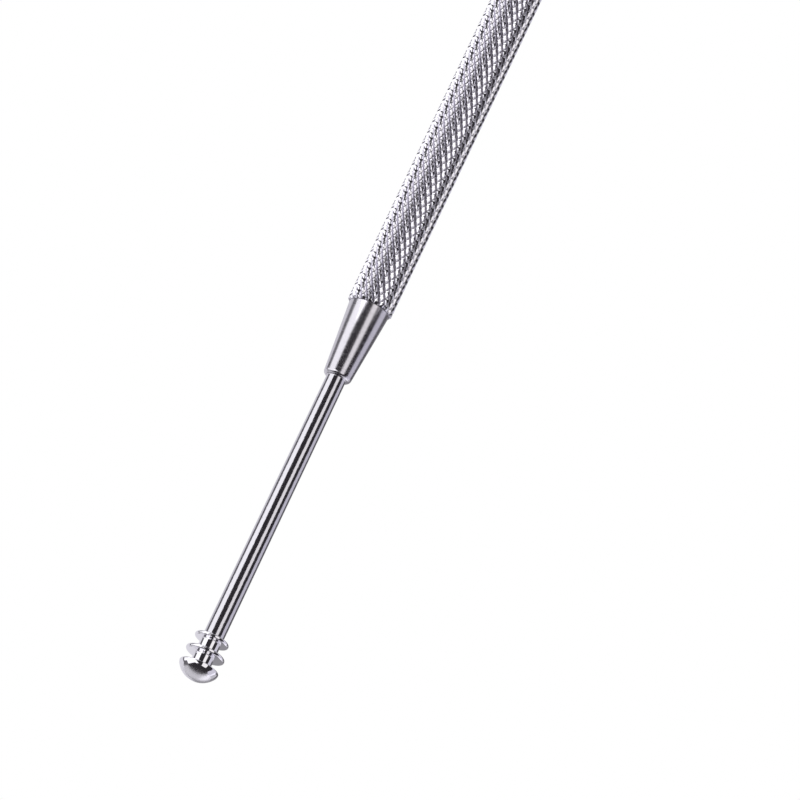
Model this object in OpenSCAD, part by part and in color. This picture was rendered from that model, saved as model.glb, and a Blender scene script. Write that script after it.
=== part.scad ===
// Double-ended hand tool: a hollow knurled grip with a screw-in cone socket at each end.
// The front socket carries a thin shank with a stack of flanges under a domed tip, and the
// rear one a shank that ends in a small scoop.
//
// Units are millimetres. The tool lies along X with its origin at the middle of the grip:
// +X points to the flanged end, -X to the scoop, and +Z is the way the scoop opens.
// Every piece is drawn on its own +Z axis, measured outwards from the middle of the grip,
// and front_end() or rear_end() then lays it along X.

/* [Grip] */
// Length of the knurled grip
grip_length = 44; // [36:1:70]
// Diameter over the crests of the knurl
grip_diameter = 4.7; // [4.5:0.1:6]
// Bore of the hollow grip
grip_bore = 3.5; // [3.4:0.1:3.7]
// Chamfer on each end of the grip
grip_chamfer = 0.25; // [0.1:0.05:0.35]

/* [Thread] */
// Major diameter of the socket's thread
thread_diameter = 2.5; // [2.4:0.1:2.6]
// Length of the thread
thread_length = 4.5; // [3:0.5:6]
// Length of the threaded bush in the grip
bush_length = 6.5; // [6.5:0.5:9]

/* [Cone socket] */
// Length of the cone outside the grip
cone_length = 8; // [7:0.5:10]
// Diameter of the cone where it meets the grip
cone_base_diameter = 4.2; // [4:0.1:4.4]
// Diameter of the cone before its rounded nose
cone_nose_diameter = 2.9; // [2.8:0.1:3.2]
// Radius of the rounded nose
nose_radius = 0.42; // [0.2:0.02:0.5]

/* [Shank] */
// Diameter of both shanks
shank_diameter = 2; // [1.8:0.1:2.1]
// Length of the front shank between the cone and the first flange
shank_length = 29.5; // [20:0.1:40]

/* [Flange head] */
// Diameter of the flange nearest the shank
first_flange_diameter = 3.5; // [3:0.1:4]
// Diameter of the second flange
second_flange_diameter = 4; // [3.4:0.1:4.4]
// Diameter of the domed tip
dome_diameter = 4.05; // [3.4:0.05:4.4]
// Height of the dome above its rim
dome_height = 1.25; // [0.8:0.05:1.5]
// Distance from one flange to the next
flange_pitch = 1.55; // [1.2:0.05:2.4]
// Thickness of a flange
flange_thickness = 0.38; // [0.26:0.01:0.5]

/* [Scoop] */
// Straight length of the rear shank outside the cone
scoop_shank_length = 22; // [16:1:30]
// Length of the taper between the rear shank and the bowl
scoop_taper_length = 7; // [5:0.5:9]
// Rim radius of the bowl
bowl_radius = 1.7; // [1.5:0.1:2]
// Wall thickness of the bowl
bowl_wall = 0.3; // [0.25:0.05:0.4]
// Angle between the bowl's rim and the shank
bowl_tilt = 25; // [10:1:35]

/* [Hidden] */
$fn = 64;

steel = [0.78, 0.78, 0.80];
bright_steel = [0.86, 0.86, 0.88];
dark_rubber = [0.10, 0.10, 0.11];

grip_radius = grip_diameter / 2;
bore_radius = grip_bore / 2;
grip_end = grip_length / 2;
overshoot = 1; // how far a cutting tool runs past the face that it cuts

// Seal: a rubber ring in the recess between the mouth of the grip and the bush
running_gap = 0.03; // radial clearance of the thread, and of the seal in the bore
seat_gap = 0.02; // between the cone's shoulder and the end of the grip
seal_recess = 0.9; // depth of the bush below the mouth
neck_radius = 1.15; // undercut behind the cone's shoulder, where the seal sits
seal_wire_radius = (bore_radius - neck_radius) / 2 - running_gap;
seal_ring_radius = (bore_radius + neck_radius) / 2;

// Cone socket
thread_radius = thread_diameter / 2;
cone_start = grip_end + seat_gap;
cone_end = cone_start + cone_length;
cone_base_radius = cone_base_diameter / 2;
cone_nose_radius = cone_nose_diameter / 2;
neck_start = grip_end - seal_recess;
thread_end = neck_start - thread_length;
thread_lead_in = 0.25; // chamfer on the first turn of the thread
nose_fillet = 0.1; // where the nose meets the shank

// Shanks
shank_radius = shank_diameter / 2;
socket_floor = cone_start + 0.8; // depth to which a shank is pressed into its cone
head_start = cone_end + shank_length;

// The head is pressed over a spigot on the end of the shank.
spigot_radius = shank_radius * 0.6;
spigot_length = flange_pitch * 1.75;
flange_edge = flange_thickness / 2;
dome_rim = 0.25; // thickness of the dome's rim
dome_base = head_start + 2 * flange_pitch;
dome_radius = dome_diameter / 2;
dome_sphere = (dome_radius * dome_radius + dome_height * dome_height) / (2 * dome_height);

// Scoop
scoop_neck_radius = 0.62;
scoop_taper_start = cone_end + scoop_shank_length;
scoop_taper_end = scoop_taper_start + scoop_taper_length;
bowl_sphere = bowl_radius * 1.3; // outer radius of the bowl's spherical wall
rim_height = sqrt(bowl_sphere * bowl_sphere - bowl_radius * bowl_radius);
bowl_rise = 0.35; // height of the bowl's centre above the axis
bowl_center = scoop_taper_end + bowl_radius * cos(bowl_tilt);

// Points on an arc around a centre, from one angle to another
function arc(center, radius, from, to, steps = 6) = [
    for (i = [0 : steps])
        let (a = from + (to - from) * i / steps)
            center + radius * [cos(a), sin(a)]
];

// Lays a piece that is drawn on +Z along +X
module front_end() {
    rotate([0, 90, 0]) children();
}

// Lays a piece that is drawn on +Z along -X, with its own +X upwards
module rear_end() {
    rotate([0, -90, 0]) children();
}

module rod(radius, from, to) {
    translate([0, 0, from]) cylinder(r = radius, h = to - from);
}

module tapered_rod(from_radius, to_radius, from, to) {
    translate([0, 0, from]) cylinder(r1 = from_radius, r2 = to_radius, h = to - from);
}

// Flat disc with a full-round edge
module flange(radius, from) {
    rod(radius - flange_edge, from, from + flange_thickness);
    translate([0, 0, from + flange_edge])
        rotate_extrude()
            translate([radius - flange_edge, 0])
                circle(r = flange_edge);
}

// Hollow grip, drawn at the crests of its knurl
module handle_tube() {
    color(steel)
        front_end()
            difference() {
                union() {
                    rod(grip_radius, grip_chamfer - grip_end, grip_end - grip_chamfer);
                    for (side = [0, 180])
                        rotate([side, 0, 0])
                            tapered_rod(grip_radius, grip_radius - grip_chamfer,
                                        grip_end - grip_chamfer, grip_end);
                }
                rod(bore_radius, -grip_end - overshoot, grip_end + overshoot);
            }
}

// Bush with the female thread, pressed into the bore below the seal
module thread_bush() {
    color(bright_steel)
        difference() {
            rod(bore_radius, neck_start - bush_length, neck_start);
            rod(thread_radius + running_gap, neck_start - bush_length - overshoot,
                neck_start + overshoot);
        }
}

// Rubber ring that seals and locks the screwed joint
module seal_ring() {
    color(dark_rubber)
        translate([0, 0, (neck_start + grip_end) / 2])
            rotate_extrude()
                translate([seal_ring_radius, 0])
                    circle(r = seal_wire_radius);
}

// Half outline of the cone and its rounded nose, from the axis outwards
module cone_outline() {
    nose_center = [cone_nose_radius - nose_radius, cone_end - nose_radius];
    fillet_center = [shank_radius + nose_fillet, cone_end + nose_fillet];
    polygon(concat(
        [[0, cone_start], [cone_base_radius, cone_start]],
        arc(nose_center, nose_radius, 0, 90),
        arc(fillet_center, nose_fillet, 270, 180, 3),
        [[0, cone_end + nose_fillet]]
    ));
}

// Cone with a threaded spigot behind its shoulder and a blind bore for the shank
module cone_socket() {
    color(steel)
        difference() {
            union() {
                rotate_extrude() cone_outline();
                rod(neck_radius, neck_start, cone_start);
                rod(thread_radius, thread_end + thread_lead_in, neck_start);
                tapered_rod(thread_radius - thread_lead_in, thread_radius,
                            thread_end, thread_end + thread_lead_in);
            }
            rod(shank_radius, socket_floor, cone_end + overshoot);
        }
}

// Straight shank with a spigot for the head
module front_shank() {
    color(bright_steel)
        front_end() {
            rod(shank_radius, socket_floor, head_start);
            rod(spigot_radius, head_start, head_start + spigot_length);
        }
}

// Spherical cap on a short rim, the working tip
module dome() {
    rod(dome_radius, dome_base, dome_base + dome_rim);
    intersection() {
        translate([0, 0, dome_base + dome_rim + dome_height - dome_sphere])
            sphere(r = dome_sphere);
        rod(dome_radius, dome_base + dome_rim, dome_base + dome_rim + dome_height);
    }
}

// Two flanges and the dome on one neck, bored to take the shank's spigot
module flange_head() {
    color(bright_steel)
        front_end()
            difference() {
                union() {
                    rod(shank_radius, head_start, dome_base + dome_rim / 2);
                    flange(first_flange_diameter / 2, head_start);
                    flange(second_flange_diameter / 2, head_start + flange_pitch);
                    dome();
                }
                rod(spigot_radius, head_start - overshoot, head_start + spigot_length);
            }
}

// Everything below the bowl's rim, in the bowl's own frame, which opens along +X
module below_rim() {
    translate([-bowl_sphere, 0, 0])
        cube([2 * bowl_sphere, 4 * bowl_sphere, 4 * bowl_sphere], center = true);
}

// Places a shape in the bowl's frame: its origin is the middle of the rim
module bowl_frame() {
    translate([bowl_rise, 0, bowl_center])
        rotate([0, bowl_tilt, 0])
            children();
}

// Rear shank, tapered down to a neck that carries a small round bowl
module spoon_tip() {
    color(bright_steel)
        rear_end()
            difference() {
                union() {
                    rod(shank_radius, socket_floor, scoop_taper_start);
                    tapered_rod(shank_radius, scoop_neck_radius,
                                scoop_taper_start, scoop_taper_end);
                    translate([0, 0, scoop_taper_end]) sphere(r = scoop_neck_radius);
                    bowl_frame()
                        intersection() {
                            translate([rim_height, 0, 0]) sphere(r = bowl_sphere);
                            below_rim();
                        }
                }
                bowl_frame()
                    translate([rim_height, 0, 0])
                        sphere(r = bowl_sphere - bowl_wall);
            }
}

handle_tube();
front_end() thread_bush();  // front_thread_bush
rear_end() thread_bush();  // rear_thread_bush
front_end() seal_ring();  // front_seal_ring
rear_end() seal_ring();  // rear_seal_ring
front_end() cone_socket();  // front_cone_socket
rear_end() cone_socket();  // rear_cone_socket
front_shank();
flange_head();
spoon_tip();
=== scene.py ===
# %% [markdown]
# # A knurled ear pick, turned, threaded and polished
#
# The tool is a slim steel hand tool. A hollow knurled grip holds a screw-in cone socket at each
# end. One socket carries a thin shank with a stack of flanges under a domed tip, and the other
# a shank that ends in a small scoop. Everything about it is round, so almost every piece here
# is made the way a lathe makes it: an outline is drawn once and spun about the tool's axis.
#
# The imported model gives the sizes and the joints. Each piece is rebuilt around it at a finer
# grain, with the radii, the threads and the teeth of the knurl that a plain solid leaves out.

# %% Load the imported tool
import math

import bmesh
import bpy
from mathutils import Matrix, Vector


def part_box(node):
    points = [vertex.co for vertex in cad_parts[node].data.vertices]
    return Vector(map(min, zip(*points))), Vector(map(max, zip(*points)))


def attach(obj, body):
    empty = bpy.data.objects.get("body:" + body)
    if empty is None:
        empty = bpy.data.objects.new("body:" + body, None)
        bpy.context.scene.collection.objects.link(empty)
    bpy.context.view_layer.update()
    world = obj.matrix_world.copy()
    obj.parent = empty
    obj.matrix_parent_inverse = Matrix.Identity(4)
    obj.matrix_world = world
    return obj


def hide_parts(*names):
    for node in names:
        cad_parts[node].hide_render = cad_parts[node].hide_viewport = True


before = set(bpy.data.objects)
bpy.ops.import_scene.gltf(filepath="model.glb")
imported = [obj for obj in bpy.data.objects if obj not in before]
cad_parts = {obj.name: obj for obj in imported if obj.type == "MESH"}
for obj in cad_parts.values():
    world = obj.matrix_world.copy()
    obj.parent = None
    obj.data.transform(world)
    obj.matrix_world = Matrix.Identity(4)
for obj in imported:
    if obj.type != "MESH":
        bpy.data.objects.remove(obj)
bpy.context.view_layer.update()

# %% [markdown]
# ## Sizes
#
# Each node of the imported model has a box, and on a turned part that box holds most of what the
# lathe needs: where a piece starts and ends along X, and its largest radius. The outlines are
# drawn in millimetres, which suits a tool as small as this one, and scaled to metres last.

# %% Measure the nodes
MM = 0.001


def reach(node):
    """Start, end and radius of a turned node in mm, measured outwards from the grip's middle."""
    low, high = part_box(node)
    near, far = sorted((abs(low.x), abs(high.x)))
    return near / MM, far / MM, high.y / MM


_, GRIP_END, GRIP_R = reach("handle_tube")
BUSH_START, BUSH_END, BORE_R = reach("front_thread_bush")
SEAL_START, SEAL_END, SEAL_R = reach("front_seal_ring")
SOCKET_START, SOCKET_END, CONE_R = reach("front_cone_socket")
SHANK_START, SPIGOT_END, SHANK_R = reach("front_shank")
HEAD_START, HEAD_END, DOME_R = reach("flange_head")
SCOOP_START, SCOOP_END, BOWL_R = reach("spoon_tip")
print(f"grip: {2 * GRIP_END:.2f} long, {2 * GRIP_R:.2f} across, bore {2 * BORE_R:.2f}")
print(f"head: from {HEAD_START:.2f} to {HEAD_END:.2f}, {2 * DOME_R:.2f} across")

# %% [markdown]
# ## A lathe
#
# An outline is a row of points, each with a place along the axis and a radius. Round stretches
# are arcs, so that a fillet or a rounded edge is one call. Every finished mesh goes through the
# same last step: it is scaled to metres and shaded smooth, with its sharp edges kept.

# %% Arcs and finished meshes
def arc(centre, radius, start, end, steps=8):
    """Points on part of a circle in the outline's plane, from one angle to another in degrees."""
    angles = [math.radians(start + (end - start) * i / steps) for i in range(steps + 1)]
    return [(centre[0] + radius * math.cos(a), centre[1] + radius * math.sin(a)) for a in angles]


def finish_mesh(name, bm, sharp_angle=35):
    """Scale a bmesh to metres, and make it a smooth-shaded object with its sharp edges kept."""
    bmesh.ops.scale(bm, vec=(MM, MM, MM), verts=bm.verts)
    mesh = bpy.data.meshes.new(name)
    bm.to_mesh(mesh)
    bm.free()
    mesh.shade_smooth()
    mesh.set_sharp_from_angle(angle=math.radians(sharp_angle))
    piece = bpy.data.objects.new(name, mesh)
    bpy.context.scene.collection.objects.link(piece)
    print(f"{name}: {len(mesh.polygons)} faces")
    return piece


# %% [markdown]
# Blender's Spin turns a row of edges about an axis, as its Screw modifier does. Spin is used
# because it leaves a real mesh behind. A second tool can then follow the same path: `cut` gets
# each point's place along the axis, its radius and its angle, and may give back a smaller
# radius. That is how a thread is cut on a rod that was turned first.

# %% The lathe
def turned(outline, steps=128, cut=None):
    """Spin an outline of (x, radius) points in mm about X, then cut it where cut says."""
    bm = bmesh.new()
    verts = [bm.verts.new((x, 0, r)) for x, r in outline]
    edges = [bm.edges.new(pair) for pair in zip(verts, verts[1:])]
    bmesh.ops.spin(bm, geom=verts + edges, axis=(1, 0, 0), cent=(0, 0, 0),
                   steps=steps, angle=math.tau, use_merge=True)
    bmesh.ops.remove_doubles(bm, verts=bm.verts, dist=0.0005)
    if cut:
        for v in bm.verts:
            radius, angle = math.hypot(v.co.y, v.co.z), math.atan2(v.co.y, v.co.z)
            kept = cut(v.co.x, radius, angle) / radius if radius else 1
            v.co.y, v.co.z = v.co.y * kept, v.co.z * kept
    bmesh.ops.recalc_face_normals(bm, faces=bm.faces)
    return bm


# %% [markdown]
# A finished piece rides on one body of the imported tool, so that it moves with the joints, and it
# replaces that body's plain node. Pieces for the rear end are made the front way round, then
# given half a turn about Z.

# %% Put a piece on the tool
def add_piece(name, bm, body, node, metal, rear=False):
    """Turn a finished bmesh into the piece that stands for a node."""
    if rear:  # half a turn about Z leaves a right-hand thread right-handed
        bmesh.ops.rotate(bm, matrix=Matrix.Rotation(math.pi, 3, "Z"), verts=bm.verts)
    piece = finish_mesh(name, bm)
    piece.data.materials.append(metal)
    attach(piece, body)
    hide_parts(node)


# %% [markdown]
# ## Finishes
#
# Every metal surface is the same stainless steel, and only the tool that made it differs. So one
# helper makes bare steel, and each finish adds its own texture on top. Turning leaves fine rings
# that stretch every highlight along the axis. Modelling each ring would take far too many faces,
# so the shader's anisotropy does that, with its tangent running round the tool.

# %% Bare steel
def steel(name, colour, roughness, brushed=0.0):
    """Bare steel. brushed is how far its highlights are stretched along the axis."""
    material = bpy.data.materials.new(name)
    material.use_nodes = True
    shader = material.node_tree.nodes["Principled BSDF"]
    shader.inputs["Base Color"].default_value = (*colour, 1)
    shader.inputs["Metallic"].default_value = 1
    shader.inputs["Roughness"].default_value = roughness
    if brushed:
        shader.inputs["Anisotropic"].default_value = brushed
        tangent = material.node_tree.nodes.new("ShaderNodeTangent")
        tangent.direction_type, tangent.axis = "RADIAL", "X"
        material.node_tree.links.new(tangent.outputs[0], shader.inputs["Tangent"])
    return material


# %% [markdown]
# A shader is a graph of nodes. These three helpers keep the finishes short: one makes a node and
# sets its values by name, one joins two nodes, and one joins a value to the steel itself.

# %% Make and join nodes
def add_node(material, kind, **values):
    """A new node, with its settings and its unlinked inputs set by name."""
    node = material.node_tree.nodes.new(kind)
    for key, value in values.items():
        if hasattr(node, key):
            setattr(node, key, value)
        else:
            node.inputs[key.replace("_", " ")].default_value = value
    return node


def link(material, source, target):
    material.node_tree.links.new(source, target)


def feed(material, value, socket):
    """Join a value to a socket of the steel's own shader."""
    link(material, value, material.node_tree.nodes["Principled BSDF"].inputs[socket])


# %% [markdown]
# Texture is worked out in object coordinates. Those are the tool's own metres, so a scratch
# keeps its real width on every piece, and nothing has to be unwrapped. Stretched one way, plain
# noise turns into the rings of a lathe. Stretched the other way, it turns into drawing lines.

# %% Texture in real sizes
def grain(material, stretch, scale, detail=2.0):
    """Noise in the tool's own coordinates, finer along X, Y or Z as stretch says."""
    place = add_node(material, "ShaderNodeTexCoord")
    mapping = add_node(material, "ShaderNodeMapping", Scale=stretch)
    noise = add_node(material, "ShaderNodeTexNoise", Scale=scale, Detail=detail)
    link(material, place.outputs["Object"], mapping.inputs["Vector"])
    link(material, mapping.outputs[0], noise.inputs["Vector"])
    return noise.outputs["Fac"]


def add_relief(material, height, depth, below=None):
    """Bump of a given depth in metres, on top of another one if below is given."""
    bump = add_node(material, "ShaderNodeBump", Strength=1.0, Distance=depth)
    link(material, height, bump.inputs["Height"])
    if below:
        link(material, below, bump.inputs["Normal"])
    feed(material, bump.outputs[0], "Normal")
    return bump.outputs[0]


def spread(material, noise, low, high, socket):
    """Let noise, which mostly lies between 0.3 and 0.7, move a number between two values."""
    span = add_node(material, "ShaderNodeMapRange", From_Min=0.3, From_Max=0.7,
                    To_Min=low, To_Max=high)
    link(material, noise, span.inputs["Value"])
    feed(material, span.outputs[0], socket)


# %% [markdown]
# The cones keep the rings of the turning tool, about two micrometres deep. The shanks are drawn
# wire, polished lengthwise. Polishing leaves them very slightly wavy, and that makes the edges
# of their reflections wander. The bushes are used just as they came off the lathe.

# %% Turned, drawn and machined steel
def turned_steel():
    metal = steel("turned_steel", (0.72, 0.705, 0.745), 0.16, brushed=0.7)
    rings = grain(metal, (1, 0.15, 0.15), 12000, detail=3)
    add_relief(metal, rings, 2.2e-6)
    spread(metal, rings, 0.12, 0.22, "Roughness")
    return metal


def drawn_steel():
    metal = steel("drawn_steel", (0.72, 0.71, 0.745), 0.12)
    lines = grain(metal, (0.4, 1, 1), 9000)
    waves = grain(metal, (0.6, 1, 1), 2600)
    below = add_relief(metal, waves, 5e-6)
    add_relief(metal, lines, 1.8e-6, below)
    spread(metal, lines, 0.08, 0.17, "Roughness")
    return metal


def machined_steel():
    metal = steel("machined_steel", (0.66, 0.65, 0.67), 0.25, brushed=0.5)
    rings = grain(metal, (1, 0.02, 0.02), 9000, detail=3)
    add_relief(metal, rings, 3e-6)
    spread(metal, rings, 0.2, 0.34, "Roughness")
    return metal


cone_steel, shank_steel, bush_steel = turned_steel(), drawn_steel(), machined_steel()
print("plain finishes:", cone_steel.name, shank_steel.name, bush_steel.name)

# %% [markdown]
# Two finishes change across a piece. The head's necks are mirrors and its dome is satin, and the
# knurl is smoother on its crests and rougher in its grooves, whose colour is darkened as painted
# shade. A painted mask could say where, but the place is only a length that the shader can
# measure: along the axis, or out from it.

# %% Measure a length in the shader
def along_axis(material):
    """Distance along the tool, in metres."""
    place = add_node(material, "ShaderNodeTexCoord")
    parts = add_node(material, "ShaderNodeSeparateXYZ")
    link(material, place.outputs["Object"], parts.inputs[0])
    return parts.outputs["X"]


def from_axis(material):
    """Distance from the tool's axis, in metres."""
    place = add_node(material, "ShaderNodeTexCoord")
    flat = add_node(material, "ShaderNodeVectorMath", operation="MULTIPLY")
    flat.inputs[1].default_value = (0, 1, 1)
    length = add_node(material, "ShaderNodeVectorMath", operation="LENGTH")
    link(material, place.outputs["Object"], flat.inputs[0])
    link(material, flat.outputs[0], length.inputs[0])
    return length.outputs["Value"]


def change(material, length, start, end, before, after):
    """A value that goes smoothly from before to after as a length grows from start to end."""
    span = add_node(material, "ShaderNodeMapRange", interpolation_type="SMOOTHSTEP",
                    From_Min=start, From_Max=end, To_Min=before, To_Max=after)
    link(material, length, span.inputs["Value"])
    return span.outputs[0]


# %% The head's steel and the knurl's
def head_steel():
    metal = steel("head_steel", (0.9, 0.89, 0.92), 0.08)
    add_relief(metal, grain(metal, (1, 0.05, 0.05), 12000), 0.4e-6)
    satin = (HEAD_END - 1.0) * MM  # where the mirror starts to turn to satin
    feed(metal, change(metal, along_axis(metal), satin, satin + 0.5 * MM, 0.05, 0.3), "Roughness")
    return metal


def knurl_steel():
    metal = steel("knurl_steel", (0.75, 0.74, 0.77), 0.16)
    add_relief(metal, grain(metal, (1, 1, 1), 9000, detail=3), 2e-6)
    floor, crest = (GRIP_R - 0.26) * MM, (GRIP_R - 0.08) * MM
    feed(metal, change(metal, from_axis(metal), floor, crest, 0.22, 0.11), "Roughness")
    # Painted shade: the colour is darkened towards the groove floors, and the crests keep bright
    # steel.
    painted_groove_shade = add_node(metal, "ShaderNodeMix", data_type="RGBA")
    painted_groove_shade.inputs[6].default_value = (0.52, 0.505, 0.56, 1)  # in the grooves
    painted_groove_shade.inputs[7].default_value = (0.9, 0.89, 0.93, 1)  # on the crests
    link(metal, change(metal, from_axis(metal), floor, crest, 0, 1), painted_groove_shade.inputs[0])
    feed(metal, painted_groove_shade.outputs[2], "Base Color")
    return metal


head_metal, grip_steel = head_steel(), knurl_steel()
print("finishes that change:", head_metal.name, grip_steel.name)

# %% [markdown]
# The two seals are black nitrile rubber. It isn't a metal, it hardly shines, and a thin bloom
# makes it duller in patches.

# %% Rubber
def nitrile():
    rubber = steel("nitrile", (0.02, 0.02, 0.021), 0.5)
    shader = rubber.node_tree.nodes["Principled BSDF"]
    shader.inputs["Metallic"].default_value = 0
    shader.inputs["Specular IOR Level"].default_value = 0.4
    bloom = grain(rubber, (1, 1, 1), 5000, detail=4)
    add_relief(rubber, bloom, 4e-6)
    spread(rubber, bloom, 0.45, 0.62, "Roughness")
    return rubber


rubber = nitrile()
print("rubber:", rubber.name)

# %% [markdown]
# ## The knurled grip
#
# A knurling wheel presses two families of grooves round the tube, one winding each way, and
# what stands between them are rows of small truncated pyramids. A bump map would leave the
# grip's edge smooth, so the teeth are real. One wheel bites deeper than the other, and that
# makes the ridges wind one way more clearly than the other.
#
# On a plain grid the grooves would cross the faces at an angle and come out ragged. This mesh is
# woven from the grooves instead: its edges run along both families, so the floor and the edges
# of every groove lie on edges of the mesh.

# %% Measures of the knurl
KNURL_STARTS = 20  # grooves in each family
KNURL_HELIX = math.radians(30)
KNURL_PITCH = math.tau * GRIP_R / KNURL_STARTS / math.tan(KNURL_HELIX)  # along the grip
KNURL_SPACING = math.tau * GRIP_R / KNURL_STARTS * math.cos(KNURL_HELIX)  # square to a groove
KNURL_FLANK = math.tan(math.radians(47)) * KNURL_SPACING
DEEP_HALF, SHALLOW_HALF = 0.4, 0.28  # half of each groove's width, as a share of the spacing
MESH_LINES = (0.0, 0.14, 0.28, 0.4, 0.6, 0.72, 0.86)  # places across one groove and its ridge


def groove_depth(grooves, half_width):
    """Depth in mm at a place across a family of grooves. The flanks steepen towards the floor."""
    from_floor = min(grooves % 1, 1 - grooves % 1)
    inside = max(0, half_width - from_floor)
    return KNURL_FLANK * inside * (0.75 + 0.3 * inside / half_width)


print(f"knurl: {KNURL_STARTS} starts each way, {KNURL_PITCH:.2f} mm apart along the grip,",
      f"{groove_depth(0, DEEP_HALF):.2f} and {groove_depth(0, SHALLOW_HALF):.2f} mm deep")

# %% [markdown]
# Every point of the woven mesh is named by how many grooves of each family lie before it. Their
# sum gives its angle round the grip, and their difference gives its place along it.

# %% Weave the knurl
def mesh_line(index):
    """How many grooves lie before a line of the mesh, with its place in the next one."""
    turns, place = divmod(index, len(MESH_LINES))
    return turns + MESH_LINES[place]


def woven_knurl():
    """An open sleeve of knurled surface, longer than the grip."""
    lines = KNURL_STARTS * len(MESH_LINES)
    spare = 1.5  # pitches woven past the grip's ends, for the saw
    reach_out = round((2 * GRIP_END / KNURL_PITCH + spare) * len(MESH_LINES))
    bm, verts = bmesh.new(), {}
    for across in range(-reach_out, reach_out + 1):
        for line in range(lines):
            right, left = mesh_line(line + across), mesh_line(line)
            angle = math.pi * (right + left) / KNURL_STARTS
            radius = GRIP_R - max(groove_depth(left, DEEP_HALF), groove_depth(right, SHALLOW_HALF))
            verts[across, line] = bm.verts.new((KNURL_PITCH * (right - left) / 2,
                                                radius * math.sin(angle),
                                                radius * math.cos(angle)))
    for across in range(1 - reach_out, reach_out):
        for line in range(lines):
            after = (line + 1) % lines
            bm.faces.new([verts[across, line], verts[across + 1, line],
                          verts[across, after], verts[across - 1, after]])
    return bm


tube = woven_knurl()
print(f"woven knurl: {len(tube.faces)} faces")

# %% [markdown]
# The woven sleeve is longer than the grip, with ragged ends. The real tube is sawn off square
# and chamfered on a lathe, and the same is done here. A plane cuts each end. A second cut, which
# takes nothing off, marks where the chamfer starts, and no point beyond it may stand higher than
# the chamfer's cone.

# %% Saw and chamfer the ends
GRIP_CHAMFER = 0.25


def saw(bm, x, keep_outside):
    """Cut a mesh across at x, and drop what lies outside unless it is to be kept."""
    parts = bm.verts[:] + bm.edges[:] + bm.faces[:]
    bmesh.ops.bisect_plane(bm, geom=parts, dist=1e-5, plane_co=(x, 0, 0),
                           plane_no=(math.copysign(1, x), 0, 0), clear_outer=not keep_outside)


for side in (-1, 1):
    saw(tube, side * GRIP_END, keep_outside=False)
    saw(tube, side * (GRIP_END - GRIP_CHAMFER), keep_outside=True)
for v in tube.verts:
    radius = math.hypot(v.co.y, v.co.z)
    allowed = GRIP_R - GRIP_CHAMFER + GRIP_END - abs(v.co.x)
    if radius > allowed:
        v.co.y, v.co.z = v.co.y * allowed / radius, v.co.z * allowed / radius
print(f"sawn to {max(v.co.x for v in tube.verts) - min(v.co.x for v in tube.verts):.2f} mm")

# %% [markdown]
# A boolean could cut the bore, but not cleanly through this many teeth. The rim that the saw
# left is drawn inwards instead, ring by ring, into the end face, the broken edge of the mouth
# and the bore. Bridging the two last rings makes the wall of the bore.

# %% Bore the grip
MOUTH_BREAK = 0.06  # the sharp edge taken off the mouth of the bore


def draw_on(bm, rim, x, radius):
    """Extend a rim of edges to a new place along X and a new radius. Returns the new rim."""
    made = bmesh.ops.extrude_edge_only(bm, edges=rim)["geom"]
    for v in (part for part in made if isinstance(part, bmesh.types.BMVert)):
        scale = radius / math.hypot(v.co.y, v.co.z)
        v.co = (x, v.co.y * scale, v.co.z * scale)
    return [part for part in made if isinstance(part, bmesh.types.BMEdge) and part.is_boundary]


bore_rims = []
for side in (-1, 1):
    rim = [e for e in tube.edges if e.is_boundary and e.verts[0].co.x * side > 0]
    rim = draw_on(tube, rim, side * GRIP_END, BORE_R + MOUTH_BREAK)
    bore_rims += draw_on(tube, rim, side * (GRIP_END - MOUTH_BREAK), BORE_R)
bmesh.ops.bridge_loops(tube, edges=bore_rims)
bmesh.ops.recalc_face_normals(tube, faces=tube.faces)
add_piece("knurled_grip", tube, "handle", "handle_tube", grip_steel)

# %% [markdown]
# ## The screw thread
#
# The sockets screw into the grip with a fine M2.5 thread. A thread could be swept along a
# helix, but its ends are then hard to close. Here the spigot is turned plain, with rings packed
# closely along it, and the threading tool lowers each point by where it lies on the helix. The
# tool lifts out gradually at the end of its run, and that leaves the thread's run-out.

# %% The threading tool
THREAD_PITCH = 0.45
THREAD_DEPTH = 0.27
THREAD_R = 1.25
CREST, FLANK = 0.12, 0.64  # shares of half a pitch that are flat crest and sloping flank
RINGS_PER_TURN = 14


def thread_groove(x, angle):
    """0 on the crest of a right-hand thread, and 1 on the floor of its groove."""
    phase = (x / THREAD_PITCH + angle / math.tau) % 1
    return min(1, max(0, (abs(2 * phase - 1) - CREST) / FLANK))


def rings(start, end, radius):
    """Outline points packed closely enough for threading."""
    count = round(RINGS_PER_TURN * abs(end - start) / THREAD_PITCH)
    return [(start + (end - start) * i / count, radius) for i in range(count + 1)]


print(f"thread: {2 * THREAD_R:.1f} x {THREAD_PITCH} mm, {THREAD_DEPTH} mm deep")

# %% [markdown]
# ## The cone sockets
#
# A cone socket is one turned piece: the threaded spigot, an undercut neck for the seal ring, a
# shoulder that stops against the grip, the cone, and a rounded nose with the shank's hole in
# it. All of that is a single outline, from the end of the thread round to the bottom of the hole.

# %% Outline of a socket
LEAD_IN = 0.25  # chamfer on the first turn of the thread
THREAD_STOP = SEAL_START - 0.12
UNDERCUT_R, UNDERCUT_FILLET = 1.15, 0.1
CONE_START = GRIP_END + 0.02  # the shoulder stops just clear of the grip
SHOULDER_EDGE = 0.05
NOSE_START_R, NOSE_RADIUS, NOSE_FILLET = 1.45, 0.42, 0.1
CONE_END = SOCKET_END - NOSE_FILLET
HOLE_R = SHANK_R + 0.003


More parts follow.
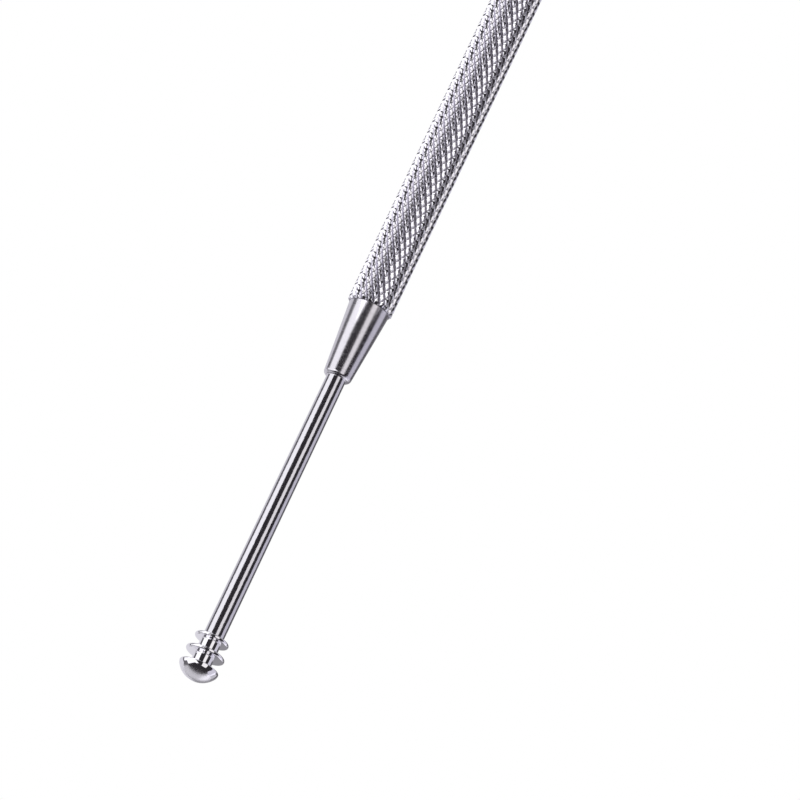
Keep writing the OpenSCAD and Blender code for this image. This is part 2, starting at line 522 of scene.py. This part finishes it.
def socket_outline():
    nose = (CONE_END - NOSE_RADIUS, NOSE_START_R - NOSE_RADIUS)
    fillet = (CONE_END + NOSE_FILLET, HOLE_R + NOSE_FILLET)
    return [(SOCKET_START, 0), (SOCKET_START, THREAD_R - LEAD_IN),
            *rings(SOCKET_START + LEAD_IN, THREAD_STOP, THREAD_R),
            (THREAD_STOP + 0.06, UNDERCUT_R + 0.02), (SEAL_START, UNDERCUT_R),
            *arc((CONE_START - UNDERCUT_FILLET, UNDERCUT_R + UNDERCUT_FILLET), UNDERCUT_FILLET,
                 270, 360, 4),
            (CONE_START, CONE_R - SHOULDER_EDGE),
            *arc((CONE_START + SHOULDER_EDGE, CONE_R - SHOULDER_EDGE), SHOULDER_EDGE, 180, 95, 4),
            *arc(nose, NOSE_RADIUS, 85, 0, 10),
            *arc(fillet, NOSE_FILLET, 180, 270, 4),
            (SHANK_START, HOLE_R), (SHANK_START, 0)]


# %% [markdown]
# The same lathe turns both sockets. The threading tool only reaches the spigot, and it lifts out
# over the last half millimetre before the undercut.

# %% Turn and thread the sockets
RUN_OUT = 0.5


def thread_spigot(x, radius, angle):
    """Radius left by the threading tool on the outside of the spigot."""
    if x > SEAL_START or radius < THREAD_R - THREAD_DEPTH:
        return radius
    lift = min(1, max(0, (THREAD_STOP - x) / RUN_OUT))
    return min(radius, THREAD_R - THREAD_DEPTH * lift * thread_groove(x, angle))


for end in ("front", "rear"):
    add_piece(f"{end}_cone", turned(socket_outline(), cut=thread_spigot), f"{end}_tip",
              f"{end}_cone_socket", cone_steel, rear=end == "rear")

# %% [markdown]
# ## The bushes and the seals
#
# The grip is thin tube, too thin to thread, so a short bush is pressed into each end of its
# bore. The bush's thread is cut into the wall of its hole.

# %% Outline and thread of a bush
BUSH_HOLE_R = THREAD_R + 0.03
BUSH_THREAD_DEPTH = THREAD_DEPTH - 0.05
BUSH_CHAMFER, BUSH_MOUTH = 0.08, 0.2  # on the outside, and on the mouth of the hole


def bush_outline():
    return [(BUSH_START, BUSH_HOLE_R), (BUSH_START, BORE_R), (BUSH_END - BUSH_CHAMFER, BORE_R),
            (BUSH_END, BORE_R - BUSH_CHAMFER), (BUSH_END, BUSH_HOLE_R + BUSH_MOUTH),
            (BUSH_END - BUSH_MOUTH / 2, BUSH_HOLE_R + BUSH_MOUTH / 2),
            *rings(BUSH_END - BUSH_MOUTH, BUSH_START, BUSH_HOLE_R)]


def thread_hole(x, radius, angle):
    """Radius left by the threading tool inside the bush."""
    if radius > BUSH_HOLE_R + 0.01:
        return radius
    return BUSH_HOLE_R + BUSH_THREAD_DEPTH * thread_groove(x, angle)


# %% [markdown]
# A rubber ring sits between the bush and the mouth of the grip, round the undercut of the
# socket. Blender has a torus, but moulding leaves a real seal a fine flash line inside and out,
# so its outline is a circle that bulges at those two places.

# %% Outline of a seal
FLASH = 0.012  # how far the flash line stands out
OUTER, INNER = 0, 12  # the steps of the circle that have it


def seal_outline():
    wire = (SEAL_END - SEAL_START) / 2
    centre = ((SEAL_START + SEAL_END) / 2, SEAL_R - wire)
    outline = []
    for i in range(25):
        radius, angle = wire + (FLASH if i % 24 in (OUTER, INNER) else 0), i * math.tau / 24
        outline.append((centre[0] + radius * math.sin(angle), centre[1] + radius * math.cos(angle)))
    return outline


# %% [markdown]
# Each end of the grip gets a bush and a seal. The bush is part of the handle. The seal has a
# body of its own, because it slides out on the spigot but doesn't turn with it.

# %% Make the bushes and the seals
for end in ("front", "rear"):
    add_piece(f"{end}_bush", turned(bush_outline(), cut=thread_hole), "handle",
              f"{end}_thread_bush", bush_steel, rear=end == "rear")
    add_piece(f"{end}_seal", turned(seal_outline(), steps=96), f"{end}_seal",
              f"{end}_seal_ring", rubber, rear=end == "rear")

# %% [markdown]
# ## The shank and the flanged head
#
# The shank is a drawn rod, with a spigot turned on its far end for the head to be pressed on.
# It swells by a few hundredths of a millimetre towards the head, to meet the neck there.

# %% Turn the shank
SPIGOT_R = SHANK_R * 0.6
NECK_R = SHANK_R * 1.035
rod_outline = [(SHANK_START, 0), (SHANK_START, SHANK_R), (HEAD_START, NECK_R),
               (HEAD_START, SPIGOT_R), (SPIGOT_END, SPIGOT_R), (SPIGOT_END, 0)]
add_piece("front_rod", turned(rod_outline), "front_tip", "front_shank",
          shank_steel)

# %% [markdown]
# The head is what the tool is for: two thin flanges with full-round edges, and a domed tip, on
# one neck. The turning tool leaves a small fillet at the foot of each flange, and those fillets
# catch the light, so they are in the outline. The flanges are a little thicker at the foot.

# %% Outline of the head
FLANGE_PITCH, FLANGE_EDGE = 1.55, 0.19
FLANGE_RADII = (1.75, 2.0)
FOOT_FILLET = 0.09
FACE_LEAN = 0.05  # how much thicker a flange is at its foot, on each side
DOME_RIM, DOME_HEIGHT = 0.25, 1.25
RIM_ROUNDING = 0.06  # how far inside the rim the dome's cap starts


def flange_outline(start, radius):
    """Neck, fillet, flange with a full-round edge, fillet, neck."""
    middle, foot, lean = start + FLANGE_EDGE, NECK_R + FOOT_FILLET, FACE_LEAN + FOOT_FILLET
    return [*arc((start - lean, foot), FOOT_FILLET, 270, 360, 5),
            *arc((middle, radius - FLANGE_EDGE), FLANGE_EDGE, 180, 0, 14),
            *arc((start + 2 * FLANGE_EDGE + lean, foot), FOOT_FILLET, 180, 270, 5)]


def dome_outline(start):
    """Fillet, rounded rim and a cap that is part of a larger sphere."""
    foot = (start - FOOT_FILLET, NECK_R + FOOT_FILLET)
    rim = (start + DOME_RIM / 2, DOME_R - DOME_RIM / 2)
    sphere = (DOME_R ** 2 + DOME_HEIGHT ** 2) / (2 * DOME_HEIGHT)
    centre = (HEAD_END - sphere, 0)
    edge = math.degrees(math.asin((DOME_R - RIM_ROUNDING) / sphere))
    return [*arc(foot, FOOT_FILLET, 270, 360, 5), *arc(rim, DOME_RIM / 2, 180, 75, 8),
            *arc(centre, sphere, edge, 0, 24)]


# %% [markdown]
# The bore for the spigot belongs to the same outline, so the head is closed all round. The first
# flange lies against the end of the shank, and has no fillet on that side. The head is turned in
# more steps than the other pieces, because its rims are seen against a white ground.

# %% Turn the head
SHANK_JOINT = 0.004  # gap between the shank's end and the head


def head_outline():
    face = HEAD_START + SHANK_JOINT
    first, second = (flange_outline(face + i * FLANGE_PITCH, FLANGE_RADII[i]) for i in (0, 1))
    without_first_fillet = first[6:]
    return [(SPIGOT_END, 0), (SPIGOT_END, SPIGOT_R), (face, SPIGOT_R),
            *without_first_fillet, *second, *dome_outline(face + 2 * FLANGE_PITCH)]


add_piece("flanged_head", turned(head_outline(), steps=160), "front_tip", "flange_head",
          head_metal)

# %% [markdown]
# ## The scoop
#
# The rear shank and its scoop are one rod. The smith tapers the rod's end, beats it flat and
# presses it round a ball, and this mesh is made in the same three steps. Each section starts as
# a circle, flattens into an oval and then into a thin plate, and the path it rides on leaves
# the shank in a straight line and climbs round the ball.

# %% Measures of the scoop
TAPER_START, TAPER_END, TAPER_R = SCOOP_START + 29.2, SCOOP_START + 36.2, 0.62
FLAT_START = TAPER_END - 1.5  # where the beaten stretch begins
PLATE_HALF, PLATE_LIFT = 0.15, 0.04
PLATE_Z = PLATE_HALF - TAPER_R + PLATE_LIFT  # height of the plate's middle
BALL_R = 2.06
BALL_X, BALL_Z = TAPER_END + 0.94, PLATE_Z + BALL_R  # the middle of the ball
RIM_ANGLE = math.radians(46.7)  # from the bottom of the bowl to its rim, seen from the middle
LEAN = math.radians(25)  # how far the bowl leans back over the shank


def ease(value, start, end):
    """0 before start, 1 after end, and a smooth rise between."""
    share = min(1, max(0, (value - start) / (end - start)))
    return share * share * (3 - 2 * share)


def bowl_half_width(climb):
    """Half of the bowl's width where the path has climbed by an angle round the ball."""
    share = math.cos(RIM_ANGLE) / max(0.01, math.cos(climb - LEAN))
    return BALL_R * math.sqrt(max(0, 1 - share * share))


# %% [markdown]
# A section is a superellipse: with squareness 2 it is an oval, and with 6 it is nearly the
# rectangle of a beaten plate. dish then bends it round the ball from side to side.

# %% One section of the scoop
SECTION_POINTS = 64


def scoop_section(place, climb, width, half, drop, squareness, dish):
    """Points round one section of the scoop, which stands square to its path."""
    upward = Vector((-math.sin(climb), 0, math.cos(climb)))
    points = []
    for i in range(SECTION_POINTS):
        c, s = math.cos(math.tau * i / SECTION_POINTS), math.sin(math.tau * i / SECTION_POINTS)
        y = math.copysign(abs(c) ** (2 / squareness), c) * width
        rise = math.copysign(abs(s) ** (2 / squareness), s) * half + drop
        rise += dish * (BALL_R - math.sqrt(BALL_R ** 2 - y * y))
        points.append(place + Vector((0, y, 0)) + upward * rise)
    return points


# %% [markdown]
# The path has three stretches, one for each thing the smith does. Each is a generator that
# yields the sections along it, so the whole scoop is one row of sections to be skinned.

# %% Taper, flatten and press
TAPER_STEPS, FLATTEN_STEPS, PRESS_STEPS = 24, 24, 28
BLEND = 5  # the higher it is, the more suddenly the bowl widens from the neck


def taper():
    """The straight rod, and then its tapered end."""
    for x in (SCOOP_START, SCOOP_START + 4, SCOOP_START + 14, SCOOP_START + 24):
        yield Vector((x, 0, 0)), 0, SHANK_R, SHANK_R, 0, 2, 0
    for i in range(TAPER_STEPS + 1):
        x = TAPER_START + (FLAT_START - TAPER_START) * i / TAPER_STEPS
        radius = SHANK_R + (TAPER_R - SHANK_R) * (i / TAPER_STEPS) ** 1.15
        yield Vector((x, 0, 0)), 0, radius, radius, 0, 2, 0


def flatten():
    """From the round end of the taper to the thin plate where the bowl starts."""
    for i in range(1, FLATTEN_STEPS + 1):
        x = FLAT_START + (BALL_X - FLAT_START) * i / FLATTEN_STEPS
        flat = ease(x, FLAT_START, BALL_X)
        half = TAPER_R + (PLATE_HALF - TAPER_R) * flat
        bowl = bowl_half_width((x - BALL_X) / BALL_R)
        width = (TAPER_R ** BLEND + bowl ** BLEND) ** (1 / BLEND)
        drop = half - TAPER_R + PLATE_LIFT * flat
        yield Vector((x, 0, 0)), 0, width, half, drop, 2 + 4 * flat, flat


def press():
    """Round the ball to the far rim of the bowl, where the plate is rounded off."""
    for i in range(1, PRESS_STEPS + 1):
        climb = (LEAN + RIM_ANGLE) * math.sin(math.pi / 2 * i / PRESS_STEPS)
        neck = TAPER_R ** BLEND * (1 - i / PRESS_STEPS) ** 2
        width = (neck + bowl_half_width(climb) ** BLEND) ** (1 / BLEND)
        to_edge = min(1, (LEAN + RIM_ANGLE - climb) * BALL_R / PLATE_HALF)
        half = PLATE_HALF * math.sqrt(to_edge * (2 - to_edge))
        place = Vector((BALL_X + BALL_Z * math.sin(climb), 0, BALL_Z * (1 - math.cos(climb))))
        yield place, climb, max(width, 0.01), max(half, 0.01), PLATE_Z, 6, 1


# %% [markdown]
# Skinning joins each section to the next with a ring of faces, and one face closes each end.

# %% Skin the scoop
def forged_scoop():
    bm = bmesh.new()
    loops = [[bm.verts.new(point) for point in scoop_section(*section)]
             for section in (*taper(), *flatten(), *press())]
    for one, two in zip(loops, loops[1:]):
        for i in range(SECTION_POINTS):
            after = (i + 1) % SECTION_POINTS
            bm.faces.new([one[i], one[after], two[after], two[i]])
    bm.faces.new(loops[0])
    bm.faces.new(loops[-1])
    bmesh.ops.recalc_face_normals(bm, faces=bm.faces)
    return bm


add_piece("scoop", forged_scoop(), "rear_tip", "spoon_tip", shank_steel,
          rear=True)

# %% [markdown]
# ## The studio
#
# Polished steel shows the room and hardly shows itself, so the room is the subject here. The
# floor is a pale sheet that sweeps up all the way round, and it glows evenly, as a sheet lit
# from behind does. The steel doesn't see it: the reflections come from the lights alone, which
# can then stand on any side of the tool, below it too.

# %% The pale sheet
def swept_sheet():
    """A disc whose edge turns up into a wall, as one mesh in metres."""
    low, flat, sweep, top = -GRIP_R * MM, 1.2, 1.8, 4.5
    turns = [math.radians(6 * i) for i in range(1, 16)]
    outline = [(0, low), (flat, low),
               *((flat + sweep * math.sin(a), low + sweep * (1 - math.cos(a))) for a in turns),
               (flat + sweep, top)]
    bm = bmesh.new()
    verts = [bm.verts.new((x, 0, z)) for x, z in outline]
    edges = [bm.edges.new(pair) for pair in zip(verts, verts[1:])]
    bmesh.ops.spin(bm, geom=verts + edges, axis=(0, 0, 1), cent=(0, 0, 0),
                   steps=64, angle=math.tau, use_merge=True)
    bmesh.ops.remove_doubles(bm, verts=bm.verts, dist=1e-5)
    bmesh.ops.recalc_face_normals(bm, faces=bm.faces)
    mesh = bpy.data.meshes.new("pale_sheet")
    bm.to_mesh(mesh)
    bm.free()
    mesh.shade_smooth()
    return mesh


def glowing_paper():
    material = bpy.data.materials.new("pale_paper")
    material.use_nodes = True
    shader = material.node_tree.nodes["Principled BSDF"]
    shader.inputs["Base Color"].default_value = (0, 0, 0, 1)
    shader.inputs["Specular IOR Level"].default_value = 0
    shader.inputs["Emission Color"].default_value = (1, 1, 1, 1)
    shader.inputs["Emission Strength"].default_value = 1
    return material


sheet = bpy.data.objects.new("pale_sheet", swept_sheet())
sheet.data.materials.append(glowing_paper())
sheet.visible_glossy = sheet.visible_shadow = sheet.visible_diffuse = False
bpy.context.scene.collection.objects.link(sheet)
print(f"sheet: {sheet.dimensions.x:.1f} m across")

# %% [markdown]
# Each light is a long soft panel parallel to the tool, because a cylinder stretches whatever it
# reflects into a line along itself. The width of a panel sets the width of a bright band on the
# steel, and the gaps between panels are the dark bands. A panel is given by the direction it
# stands in and by the angle it fills, as the tool sees it, and its power follows from its size.

# %% A light panel
LIGHT_DISTANCE, LIGHT_LENGTH = 0.6, 1.3


def panel(name, direction, tilt, half_angle, radiance, colour, length=LIGHT_LENGTH, ahead=0):
    """A long light facing the tool. direction is its compass angle, with 0 at +Y, and tilt is
    measured from straight up. half_angle is half of the angle that its width fills, and ahead
    moves the light towards the tool's front end."""
    width = 2 * LIGHT_DISTANCE * math.tan(math.radians(half_angle))
    light = bpy.data.lights.new(name, "AREA")
    light.shape, light.size, light.size_y = "RECTANGLE", length, width
    light.energy, light.color = radiance * math.pi * length * width, colour
    lamp = bpy.data.objects.new(name, light)
    turn, tilt = math.radians(direction), math.radians(tilt)
    level = Vector((math.cos(turn), -math.sin(turn), 0))
    away = Vector((math.sin(turn) * math.sin(tilt), math.cos(turn) * math.sin(tilt),
                   math.cos(tilt)))
    facing = Matrix((level, away.cross(level), away)).transposed()
    place = away * LIGHT_DISTANCE + Vector((ahead, 0, 0))
    lamp.matrix_world = Matrix.LocRotScale(place, facing, None)
    lamp.visible_camera = False
    bpy.context.scene.collection.objects.link(lamp)


# %% [markdown]
# Two panels do most of the work: a broad one at the side, and a narrow strip almost overhead.
# A dim panel fills the other side. The panels below light the faces of the flanges, which look
# downwards past the tip, and the dome. The rest are small fills for the knurl and the dome's
# ends, and the room is nearly dark, so that the bands between the panels stay deep.

# %% Light the tool
room = bpy.data.worlds.new("studio")
bpy.context.scene.world = room
room.use_nodes = True
room.node_tree.nodes["Background"].inputs["Color"].default_value = (0.03, 0.027, 0.032, 1)

panel("broad_light", 180, 64, 25, 1.2, (0.98, 0.975, 1.0))
panel("tip_light", 138, 39, 9, 1.3, (0.98, 0.975, 1.0), length=0.35)
panel("strip_light", 0, 25.5, 15, 0.95, (1.0, 0.975, 0.98))
panel("side_panel", 0, 96, 20, 0.68, (0.9, 0.88, 1.0), ahead=0.05)
panel("left_fill", 180, 104, 14, 0.12, (0.95, 0.94, 1.0))
panel("low_left", 165, 97, 9, 1.1, (0.97, 0.96, 1.0), length=0.3)
panel("right_fill", 0, 133, 16, 0.09, (0.95, 0.94, 1.0))
panel("under_left", 180, 149, 31, 0.75, (0.95, 0.94, 1.0), ahead=-0.25)
panel("under_right", 0, 165, 15, 0.27, (0.96, 0.95, 1.0), ahead=-0.25)
panel("under_front", 90, 117, 23, 0.6, (0.96, 0.95, 1.0), length=1.1)
panel("front_right", 40, 122, 18, 0.45, (0.94, 0.93, 1.0), length=0.6)
panel("far_left", 236, 65, 25, 1.25, (0.98, 0.97, 1.0), length=0.4)
panel("far_right", 298, 85, 35, 0.3, (0.95, 0.94, 1.0), length=0.65)
print("lights:", ", ".join(light.name for light in bpy.data.lights))

# %% [markdown]
# ## The camera
#
# The camera looks down on the tool from a little ahead of it, through a long lens, and is rolled
# so that the tool crosses the frame on a slant. The head is at the lower left, and the grip runs
# out of the top.

# %% Camera
CAMERA_TILT = math.radians(20.5)  # from straight above the tool towards the head
CAMERA_DISTANCE = 0.6
FRAME_WIDTH = 78.2  # millimetres across the frame, at the target
TOOL_SLANT = math.radians(25.18)
TARGET = Vector((29.21 * MM, 6.535 * MM, 0))

camera = bpy.data.objects.new("camera", bpy.data.cameras.new("camera"))
bpy.context.scene.collection.objects.link(camera)
bpy.context.scene.camera = camera
back = Vector((math.sin(CAMERA_TILT), 0, math.cos(CAMERA_TILT)))
along = Vector((math.cos(CAMERA_TILT), 0, -math.sin(CAMERA_TILT)))
across = Vector((0, 1, 0))
right = across * math.cos(TOOL_SLANT) - along * math.sin(TOOL_SLANT)
up = -across * math.sin(TOOL_SLANT) - along * math.cos(TOOL_SLANT)
camera.matrix_world = Matrix.LocRotScale(TARGET + back * CAMERA_DISTANCE,
                                         Matrix((right, up, back)).transposed(), None)
camera.data.lens = camera.data.sensor_width * CAMERA_DISTANCE / (FRAME_WIDTH * MM)
camera.data.clip_start, camera.data.clip_end = 0.01, 10
bpy.context.scene.view_settings.view_transform = "Standard"
print(f"lens: {camera.data.lens:.0f} mm")
